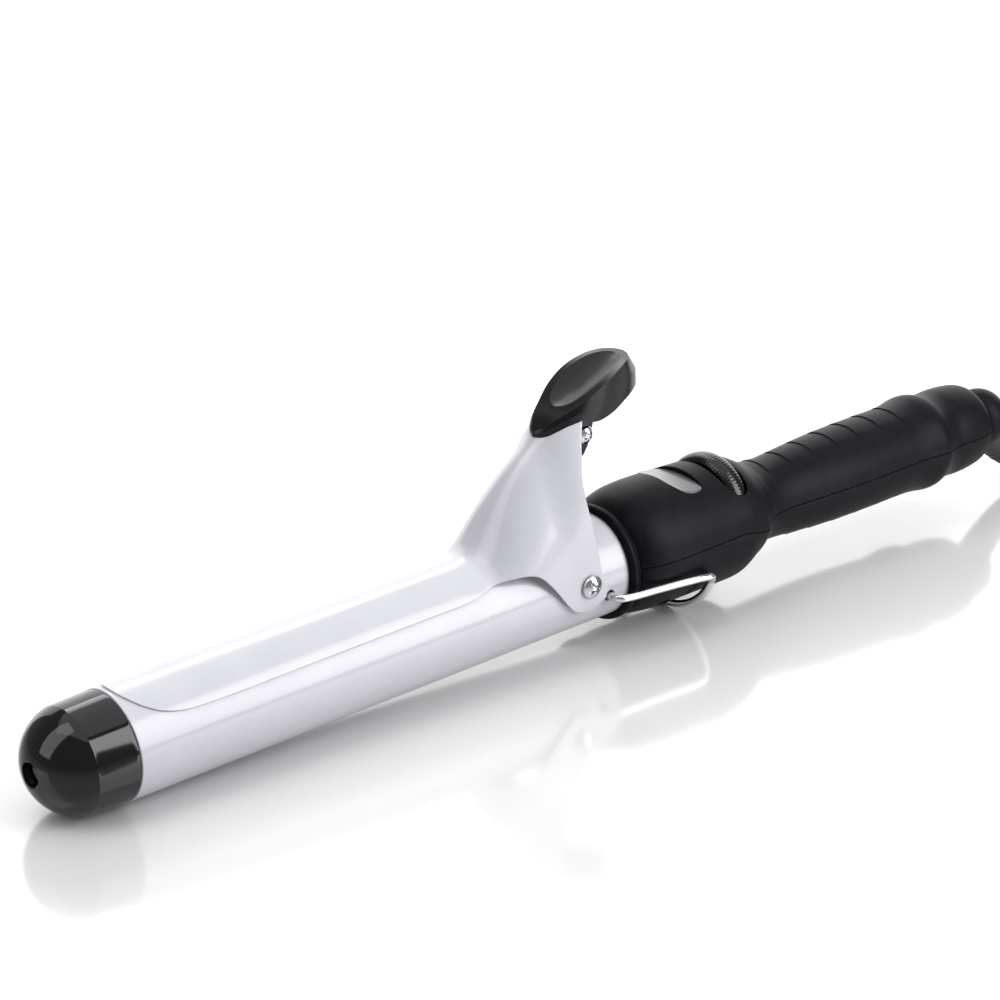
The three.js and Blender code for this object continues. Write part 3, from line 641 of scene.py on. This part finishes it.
EAR_Y = 18.0
for name, side in (("left", -1), ("right", 1)):
    ear_spot = Matrix.Translation((PIVOT_X, side * EAR_Y, PIVOT_Z))
    outward = Matrix.Rotation(side * math.pi / 2, 4, "Z")
    pivot_screw = cross_screw(f"pivot_{name}", 3.6, 2.1, 1.5, 4.9, ear_spot @ outward, CHROME)
    fit(pivot_screw, ROOT, "chrome", f"pivot_screw_{name}")
stem_spot = Matrix.Translation((169.2, -4.5, 45.2)) @ Matrix.Rotation(-math.pi / 2, 4, "Z")
thumb_screw = cross_screw("paddle_screw", 2.8, 1.8, 1.3, 5.0, stem_spot, CHROME)
fit(thumb_screw, "clip", "chrome", "thumb_screw")


# ---- stand wire ----
def stand_half(side):
    """One leg: from inside the barrel, out through its hole, and back along the handle."""
    return [
        (STAND_X, 12.5 * side, STAND_Z), (STAND_X, 17.6 * side, STAND_Z),
        (STAND_X + 0.8, 19.2 * side, STAND_Z - 0.05), (STAND_X + 3.2, 19.9 * side, STAND_Z - 0.3),
        (190, 20.9 * side, -4.4), (203.4, 21.8 * side, -5.4), (206.4, 21.7 * side, -6.1),
    ]


stand_arc = [
    (STAND_BAR_X, STAND_BAR_R * math.sin(math.radians(a)), -STAND_BAR_R * math.cos(math.radians(a)))
    for a in range(-68, 69, 8)
]
stand_line = catmull(stand_half(-1) + stand_arc + stand_half(1)[::-1], 8)
wire_stand = piece("wire_stand", sweep(stand_line, WIRE_R, 24), CHROME, smooth=60)
fit(wire_stand, "stand", "chrome", "stand_wire")

# ---- handle: its radius below and above, joined round the sides, and two shells ----
GRIP_POINTS = [
    (265, 13.8), (275, 14.4), (285, 14.7), (296, 14.8), (306, 14.8), (312, 14.85), (316.5, 15.3),
    (321, 16.0), (324, 15.9), (327.5, 14.9), (331, 14.5), (336, 14.7), (340, 14.6), (344, 14.2),
    (346.5, 13.7), (348.1, 12.9), (348.8, 12.0), (HANDLE_END, 11.0), (HANDLE_END + 0.1, 9.4), (348.6, 8.2),
]
under_radius = table_curve([
    (HANDLE_START, 16.9), (183, 17.6), (186, 18.3), (191, 18.95), (198, 19.2), (206, 19.3),
    (214, 19.35), (221, 19.4), (225, 19.4), (228, 19.1), (230.5, 18.2), (233, 16.7), (236, 15.0),
    (239, 13.7), (242, 12.95), (246, 12.5), (251, 12.65), (257, 13.2),
] + GRIP_POINTS, 10)
over_radius = table_curve([
    (HANDLE_START, 16.9), (182.5, 17.8), (184.5, 19.0), (187, 19.9), (190, 20.6), (194, 21.0),
    (200, 21.1), (207, 20.9), (214, 20.6), (221, 20.3), (226, 20.1), (229, 19.9), (232, 19.4),
    (234.5, 18.4), (237, 17.0), (239.5, 15.6), (242, 14.5), (245, 13.8), (248, 13.3), (252, 13.1),
    (257, 13.3),
] + GRIP_POINTS, 10)
RIB_START, RIB_PITCH, RIB_COUNT = 247.1, 10.3, 6
RIB_DEPTH, RIB_HALF_ANGLE, RIB_FADE, RIB_EDGE = 0.34, 30, 8, 0.03
WAIST_X, WAIST_WIDTH, WAIST_FILL = 236.5, 3.8, 1.7
SHELL_WALL, SCREW_WELL_R = 1.7, 2.9


def rib_height(x, from_top):
    """Shallow steps across the top and the bottom of the grip, each sloping down to the next."""
    u = (x - RIB_START) / RIB_PITCH
    if u < 0 or u >= RIB_COUNT + 1:
        return 0.0
    side = min(from_top, 180 - from_top)
    fade = 1 - ease((side - RIB_HALF_ANGLE + RIB_FADE) / RIB_FADE)
    part = u % 1.0
    return RIB_DEPTH * fade * (ease(part / RIB_EDGE) * (1 - part) - 0.1)


def handle_radius(x, degrees):
    """The top of the handle is fuller than its underside, and the sides fill out at the waist."""
    lean = math.cos(math.radians(degrees))
    fill = WAIST_FILL * math.exp(-((x - WAIST_X) / WAIST_WIDTH) ** 2)
    side = (under_radius(x) + over_radius(x)) / 2 + fill
    return side + ((over_radius(x) if lean > 0 else under_radius(x)) - side) * abs(lean)


def handle_point(x, degrees):
    """degrees run from 0 at the top, through the near side, to 180 at the bottom."""
    r = handle_radius(x, degrees) + rib_height(x, abs(degrees))
    a = math.radians(degrees)
    return Vector((x, -r * math.sin(a), r * math.cos(a)))


# The stations are densest at the start of each rib, where its step is.
RIB_STEPS = (0, 0.015, 0.03, 0.08, 0.2, 0.35, 0.5, 0.65, 0.8, 0.92, 0.99)
front = spaced(HANDLE_START, 246.5, 76)
ribbed = [RIB_START + RIB_PITCH * (i + f) for i in range(RIB_COUNT + 1) for f in RIB_STEPS]
rear = spaced(RIB_START + RIB_PITCH * (RIB_COUNT + 1) + 0.4, HANDLE_END, 44)
handle_stations = front + ribbed + rear
PARTING_GAP, PARTING_STEP, PARTING_DIP = 0.34, 1.4, 1.2


def parting_height(x):
    """The joint between the shells is higher on the front housing and dips at the waist."""
    step = PARTING_STEP * (1 - ease((x - 222) / 12))
    return PARTING_Z + step - PARTING_DIP * math.exp(-((x - 236) / 7) ** 2)


def shell(name, upper):
    """Half of the handle: an outer skin cut off at the parting line, thickened inwards.

    limit is the angle from the top at which the skin reaches the parting line; a few rounds settle it.
    """
    sides = 72
    sign = 1 if upper else -1
    rows = []
    for x in handle_stations:
        level = parting_height(x) + sign * PARTING_GAP / 2
        limit = 90.0
        for _ in range(4):
            limit = math.degrees(math.acos(max(min(level / handle_radius(x, limit), 1), -1)))
        if upper:
            angles = spaced(-limit, limit, sides)
        else:
            angles = spaced(limit, 360 - limit, sides)
        rows.append([handle_point(x, a if a <= 180 else a - 360) for a in angles])
    inner = []
    for row in rows:
        wall = []
        for p in row:
            r = math.hypot(p.y, p.z)
            scale = (r - SHELL_WALL) / r
            wall.append(Vector((p.x, p.y * scale, p.z * scale if abs(p.z) > 4 else p.z)))
        inner.append(wall)
    return piece(name, sheet_mesh(rows, inner), SATIN)


upper = shell("upper_shell", True)
lower = shell("lower_shell", False)

# ---- indicator window: a D-shaped lens, and its pocket in the upper shell ----
WINDOW_START, WINDOW_END = 203.0, 213.5
WINDOW_GAP, LENS_THICK = 0.07, 1.2
LENS_SINK, LENS_SINK_LENGTH, LENS_CROWN_R = 1.5, 3.2, 36
window_half = table_curve([
    (WINDOW_START, 3.0), (203.15, 5.2), (203.5, 7.0), (204.4, 9.0), (206, 10.4), (208, 11.0),
    (210.5, 11.1), (212, 10.8), (213, 10.1), (WINDOW_END, 9.2),
])


def window_rows(grow, lid, base):
    """Rows across the window; lid and base give the heights of the top and the underside at x, y."""
    rows = []
    for x in spaced(WINDOW_START - grow, WINDOW_END + grow, 40):
        half = window_half(min(max(x, WINDOW_START), WINDOW_END)) + grow
        ys = spaced(-half, half, 31)
        rows.append([(x, y, lid(x, y)) for y in ys] + [(x, y, base(x, y)) for y in reversed(ys)])
    return rows


def lens_top(x, y):
    """The lens lies in the surface at its front, sinks towards its rear edge, and is slightly domed."""
    sink = LENS_SINK * (1 - math.exp(-max(x - 202.4, 0) / LENS_SINK_LENGTH))
    return over_radius(x) - sink - y * y / (2 * LENS_CROWN_R)


pocket_rows = window_rows(WINDOW_GAP, lambda x, y: 30.0, lambda x, y: 12.0)
cut_with(upper, piece("pocket", rows_mesh(pocket_rows, caps=True), SATIN))
lens_rows = window_rows(0.0, lens_top, lambda x, y: lens_top(x, y) - LENS_THICK)
lens = piece("window_lens", rows_mesh(lens_rows, caps=True), LENS)
round_edges(lens, 0.1, 2, 50)
shade(lens, 40)

# ---- room for the dial, whose slot tapers to its ends, and the wells of the housing screws ----
slot_room = turned([
    (DIAL_X - 5.3, 0), (DIAL_X - 5.3, 14.4), (DIAL_X - 4.7, 15.3), (DIAL_X - 3.4, 16.0),
    (DIAL_X - 1.4, 16.5), (DIAL_X + 1.4, 16.5), (DIAL_X + 3.2, 16.0), (DIAL_X + 4.2, 15.3),
    (DIAL_X + 4.7, 14.4), (DIAL_X + 4.7, 0),
], 160)
cut_with(upper, piece("slot_room", moved(slot_room, Matrix.Translation((0, 0, DIAL_Z))), SATIN))
for x, y in ((194.6, -12.0), (194.6, 12.0), (256.0, 0.0), (308.0, 0.0)):
    upright = Matrix.Translation((x, y, 0)) @ Matrix.Rotation(-math.pi / 2, 4, "Y")
    cut_with(lower, piece("well", moved(rod(-25, -8, SCREW_WELL_R, 48), upright), SATIN))
for half in (upper, lower):
    round_edges(half, 0.16, 2, 50)
    shade(half, 32)
fit(upper, ROOT, "handle_satin", "handle_upper_shell")
fit(lower, ROOT, "handle_satin", "handle_lower_shell")
fit(lens, ROOT, "grey_lens", "indicator_window")

# ---- collar between barrel and handle ----
COLLAR_INSIDE_R = 16.25
collar_profile = [(176.9, COLLAR_INSIDE_R)] + arc(178.6, 16.6, 1.55, 165, 40, 12)
collar_profile += [(180.4, 17.1), (181.1, 17.0), (181.2, COLLAR_INSIDE_R), (176.9, COLLAR_INSIDE_R)]
fit(piece("collar", turned(collar_profile, 128), SATIN), ROOT, "handle_satin", "collar_ring")

# ---- temperature dial ----
KNURLS, KNURL_STEPS, KNURL_DEPTH, KNURLED_R = 90, 6, 0.035, 14.6
WHEEL_X, WHEEL_CLEARANCE = DIAL_X + 0.2, 0.1
half_rim = [
    (-2.5, 2.0), (-2.5, 11.5), (-3.8, 12.6), (-3.8, 14.0), (-3.4, 14.8), (-2.6, 15.4), (-1.4, 15.8),
]
dial_rim = half_rim + [(0.0, 15.9)] + [(-x, r) for x, r in reversed(half_rim)]
dial_rows = []
for x, r in dial_rim + [dial_rim[0]]:
    row = []
    for k in range(KNURLS * KNURL_STEPS):
        a = 2 * math.pi * k / (KNURLS * KNURL_STEPS)
        groove = KNURL_DEPTH * math.cos(KNURLS * a) if r > KNURLED_R else 0.0
        reach = r - WHEEL_CLEARANCE + groove
        row.append((WHEEL_X + x, reach * math.sin(a), DIAL_Z + reach * math.cos(a)))
    dial_rows.append(row)
fit(piece("thumbwheel", rows_mesh(dial_rows), DIAL_BLACK), "dial", "dial_gloss", "control_dial")

# ---- swivel and strain relief ----
swivel_profile = [
    (318, 0), (318, 4.6), (336, 4.6), (336, 9.8), (340, 9.8), (340, 6.8), (349.8, 6.8), (350.0, 8.2),
]
swivel_profile += arc(356.6, 0.9, 8.9, 128, 8, 26) + [(365.4, 0)]
swivel = piece("swivel_ball", turned(swivel_profile, 96), SATIN)
fit(swivel, "swivel", "handle_satin", "swivel_joint")


def boot_radius(t):
    """Tapers from 6 to 4 mm, with seven rounded ribs on the flexible part."""
    return 6.0 - 2.0 * t - rib_groove(t, 0.3, 0.94, 7, 0.75)


boot_line = catmull(boot_points, 30)
boot = piece("boot", sweep(boot_line, boot_radius, 40), RUBBER, smooth=55)
fit(boot, "swivel", "cord_rubber", "strain_relief")

# ---- clip spring: a bent leaf under the horn ----
spring_line = catmull([
    (130, 0, 17.0), (136, 0, 17.2), (142, 0, 17.7), (148, 0, 20.2), (153.5, 0, 27.0), (157, 0, 33.5),
    (158.8, 0, 38.5),
], 10)
SPRING_HALF_WIDTH, SPRING_HALF_THICK = 3.9, 0.4
near_edge, far_edge = Vector((0, -SPRING_HALF_WIDTH, 0)), Vector((0, SPRING_HALF_WIDTH, 0))
spring_rows = []
for p, q in zip(spring_line[:-1], spring_line[1:]):
    step = (q - p).normalized()
    normal = Vector((-step.z, 0, step.x)) * SPRING_HALF_THICK
    spring_rows.append([
        p + normal + near_edge, p + normal + far_edge, p - normal + far_edge, p - normal + near_edge,
    ])
spring = piece("leaf_spring", rows_mesh(spring_rows, caps=True), STEEL, smooth=40)
round_edges(spring, 0.1, 2, 40)
fit(spring, "clip", "steel", "clip_spring")

# ---- cord tie, plug and pins, in the row frame ----
TIE_X, TIE_HALF, TIE_GAP = 295.5, 8.0, 0.2


def tie_outline(grow):
    """The outline of the band round the hank: straight sides, and corners rounded over the cord."""
    space = CORD_R + TIE_GAP + grow
    half, corner = OUTER + space, space
    base, top = FIRST_LAYER - space, TOP_LAYER + space
    out = []
    for y, z, start in (
        (half - corner, base + corner, -90), (half - corner, top - corner, 0),
        (-half + corner, top - corner, 90), (-half + corner, base + corner, 180),
    ):
        for a in spaced(start, start + 90, 8):
            out.append((y + corner * math.cos(math.radians(a)), z + corner * math.sin(math.radians(a))))
    return out


# Across the band: how far from its middle, and how far outside the smallest outline.
tie_section = [
    (-TIE_HALF, 0.3), (-TIE_HALF + 0.3, 0.9), (-TIE_HALF + 0.9, 1.2), (-TIE_HALF + 1.4, 1.0),
    (TIE_HALF - 1.4, 1.0), (TIE_HALF - 0.9, 1.2), (TIE_HALF - 0.3, 0.9), (TIE_HALF, 0.3),
    (TIE_HALF, 0.0), (-TIE_HALF, 0.0), (-TIE_HALF, 0.3),
]
tie_rows = []
for offset, grow in tie_section:
    tie_rows.append([(TIE_X + offset, y, z) for y, z in tie_outline(grow)])
tie = piece("hank_tie", rows_mesh(tie_rows), RUBBER, ROW, 50)
fit(tie, ROOT, "cord_rubber", "cord_tie")

# The plug's half width and half height at each x.
PLUG_BACK, PLUG_FRONT = 420.0, 450.0
GRIP_FROM, GRIP_TO, GRIP_PITCH, GRIP_DEPTH = 430, 444, 2.8, 0.5
PIN_SIDE, PIN_R, PIN_TIP = 9.3, 1.9, 468
plug_half = table_curve([
    (PLUG_BACK, 6.2), (422, 7.2), (426, 9.4), (430, 14.0), (433.5, 16.7), (438, 17.5), (446, 17.5),
    (448.6, 17.0), (PLUG_FRONT, 15.6),
])
plug_tall = table_curve([
    (PLUG_BACK, 5.6), (423, 6.4), (428, 6.9), (434, 7.0), (446, 7.0), (448.8, 6.7), (PLUG_FRONT, 5.9),
])
# Its section turns from nearly round at the cord to a rounded rectangle, with grip grooves on the sides.
plug_rows = []
for x in spaced(PLUG_BACK, PLUG_FRONT, 61):
    row = []
    for k in range(80):
        a = 2 * math.pi * k / 80
        power = 2 / (2.4 + 3.2 * ease((x - PLUG_BACK) / 12))
        y = plug_half(x) * math.copysign(abs(math.cos(a)) ** power, math.cos(a))
        z = plug_tall(x) * math.copysign(abs(math.sin(a)) ** power, math.sin(a))
        grip = GRIP_DEPTH * ease((abs(y) - plug_half(x) * 0.8) / 2.4) if GRIP_FROM < x < GRIP_TO else 0.0
        wave = abs(math.sin(math.pi * (x - GRIP_FROM) / GRIP_PITCH)) ** 0.6
        row.append((x, y - math.copysign(grip * (1 - wave), y), PLUG_AXIS + z))
    plug_rows.append(row)
plug = piece("plug_shell", rows_mesh(plug_rows, caps=True), RUBBER, ROW, 50)

# The cord's sleeve on the plug widens from 3.9 to 5.8 mm and has five ribs.
cone_rows = []
for x in spaced(PLUG_X - 1.2, PLUG_BACK + 1.6, 90):
    t = (x - PLUG_X) / (PLUG_BACK - PLUG_X)
    r = 3.9 + 1.9 * min(max(t, 0), 1) - rib_groove(t, 0.06, 0.86, 5, 0.7)
    angles = [2 * math.pi * k / 40 for k in range(40)]
    cone_rows.append([(x, r * math.cos(a), PLUG_AXIS + r * math.sin(a)) for a in angles])
cut_with(plug, piece("cone", rows_mesh(cone_rows, caps=True), RUBBER, ROW), "UNION")
for side in (-1, 1):
    pin_spot = Matrix.Translation((0, side * PIN_SIDE, PLUG_AXIS))
    cut_with(plug, piece("bore", moved(rod(440, 452, 2.3), pin_spot), RUBBER, ROW))
round_edges(plug, 0.2, 2, 50)
shade(plug, 45)
fit(plug, ROOT, "cord_rubber", "plug_body")
pin_profile = [(442, 0), (442, PIN_R), (452, PIN_R), (458, PIN_R), (458.3, 2.0)]
pin_profile += arc(466.2, 0.2, 1.8, 90, 0, 8) + [(PIN_TIP, 0)]
for name, side in (("left", -1), ("right", 1)):
    pin = moved(turned(pin_profile, 40), Matrix.Translation((0, side * PIN_SIDE, PLUG_AXIS)))
    fit(piece(f"pin_{name}", pin, STEEL, ROW), ROOT, "steel", f"plug_pin_{name}")

# ---- finishes for the CAD nodes that stay ----
FINISHES = {
    "tip_screw": STEEL, "heater_core": ALUMINIUM, "heater_element": CERAMIC, "thermistor": CERAMIC,
    "thermal_fuse": CERAMIC, "heat_shield": CERAMIC, "heater_lead_line": RED, "heater_lead_neutral": BLUE,
    "lamp_power": LAMP_RED, "lamp_ready": LAMP_GREEN, "dial_shaft": STEEL, "potentiometer": ALUMINIUM,
    "circuit_board": BOARD, "slip_ring_line": BRASS, "slip_ring_neutral": BRASS,
    "contact_spring_line": BRASS, "contact_spring_neutral": BRASS,
    "housing_screw_front_left": STEEL, "housing_screw_front_right": STEEL,
    "housing_screw_middle": STEEL, "housing_screw_rear": STEEL,
}
for name, finish in FINISHES.items():
    node = frame["nodes"][name]
    if not node.material_slots:
        node.data.materials.append(finish)
    for place in node.material_slots:
        place.material = finish

# ---- floor, world and lights ----
floor_paint = surface(
    "floor_paint", (0.64, 0.64, 0.64), (0.66, 0.66, 0.66), 0.14,
    coat=0.55, grain=3, bump=0.0, spread=0.02, gloss=1.0,
)
FLOOR_HALF = 6
floor_mesh = bpy.data.meshes.new("floor")
floor_corners = [(x * FLOOR_HALF, y * FLOOR_HALF, 0) for x, y in ((-1, -1), (1, -1), (1, 1), (-1, 1))]
floor_mesh.from_pydata(floor_corners, [], [(0, 1, 2, 3)])
floor = bpy.data.objects.new("floor", floor_mesh)
bpy.context.scene.collection.objects.link(floor)
floor.location.z = -0.0001
floor_mesh.materials.append(floor_paint)

world = bpy.data.worlds.new("studio")
bpy.context.scene.world = world
world.use_nodes = True
world.node_tree.nodes["Background"].inputs["Color"].default_value = (1.0, 1.0, 1.0, 1)
world.node_tree.nodes["Background"].inputs["Strength"].default_value = 0.3
bpy.context.scene.view_settings.view_transform = "Standard"


def soft_light(name, spot, aim, width, height, power):
    """A rectangular light at spot, facing aim, in metres and watts."""
    light = bpy.data.lights.new(name, "AREA")
    light.shape = "RECTANGLE"
    light.size = width
    light.size_y = height
    light.energy = power
    lamp = bpy.data.objects.new(name, light)
    bpy.context.scene.collection.objects.link(lamp)
    facing = (Vector(aim) - Vector(spot)).to_track_quat("-Z", "Y").to_matrix().to_4x4()
    lamp.matrix_world = Matrix.Translation(spot) @ facing


soft_light("top", (0.2, 0.1, 2.4), (0, 0, 0), 3.2, 3.2, 37)
soft_light("key", (0.56, -0.87, 0.56), (-0.1, 0, 0.03), 0.6, 1.05, 14)
soft_light("side", (0.5, 0.85, 0.92), (-0.15, 0, 0.02), 0.5, 0.3, 2)
soft_light("back", (1.15, 1.3, 0.72), (0, 0, 0.2), 3.4, 1.5, 26)
soft_light("left", (-1.2, 0.3, 1.1), (-0.1, 0, 0.03), 0.8, 2.0, 13)
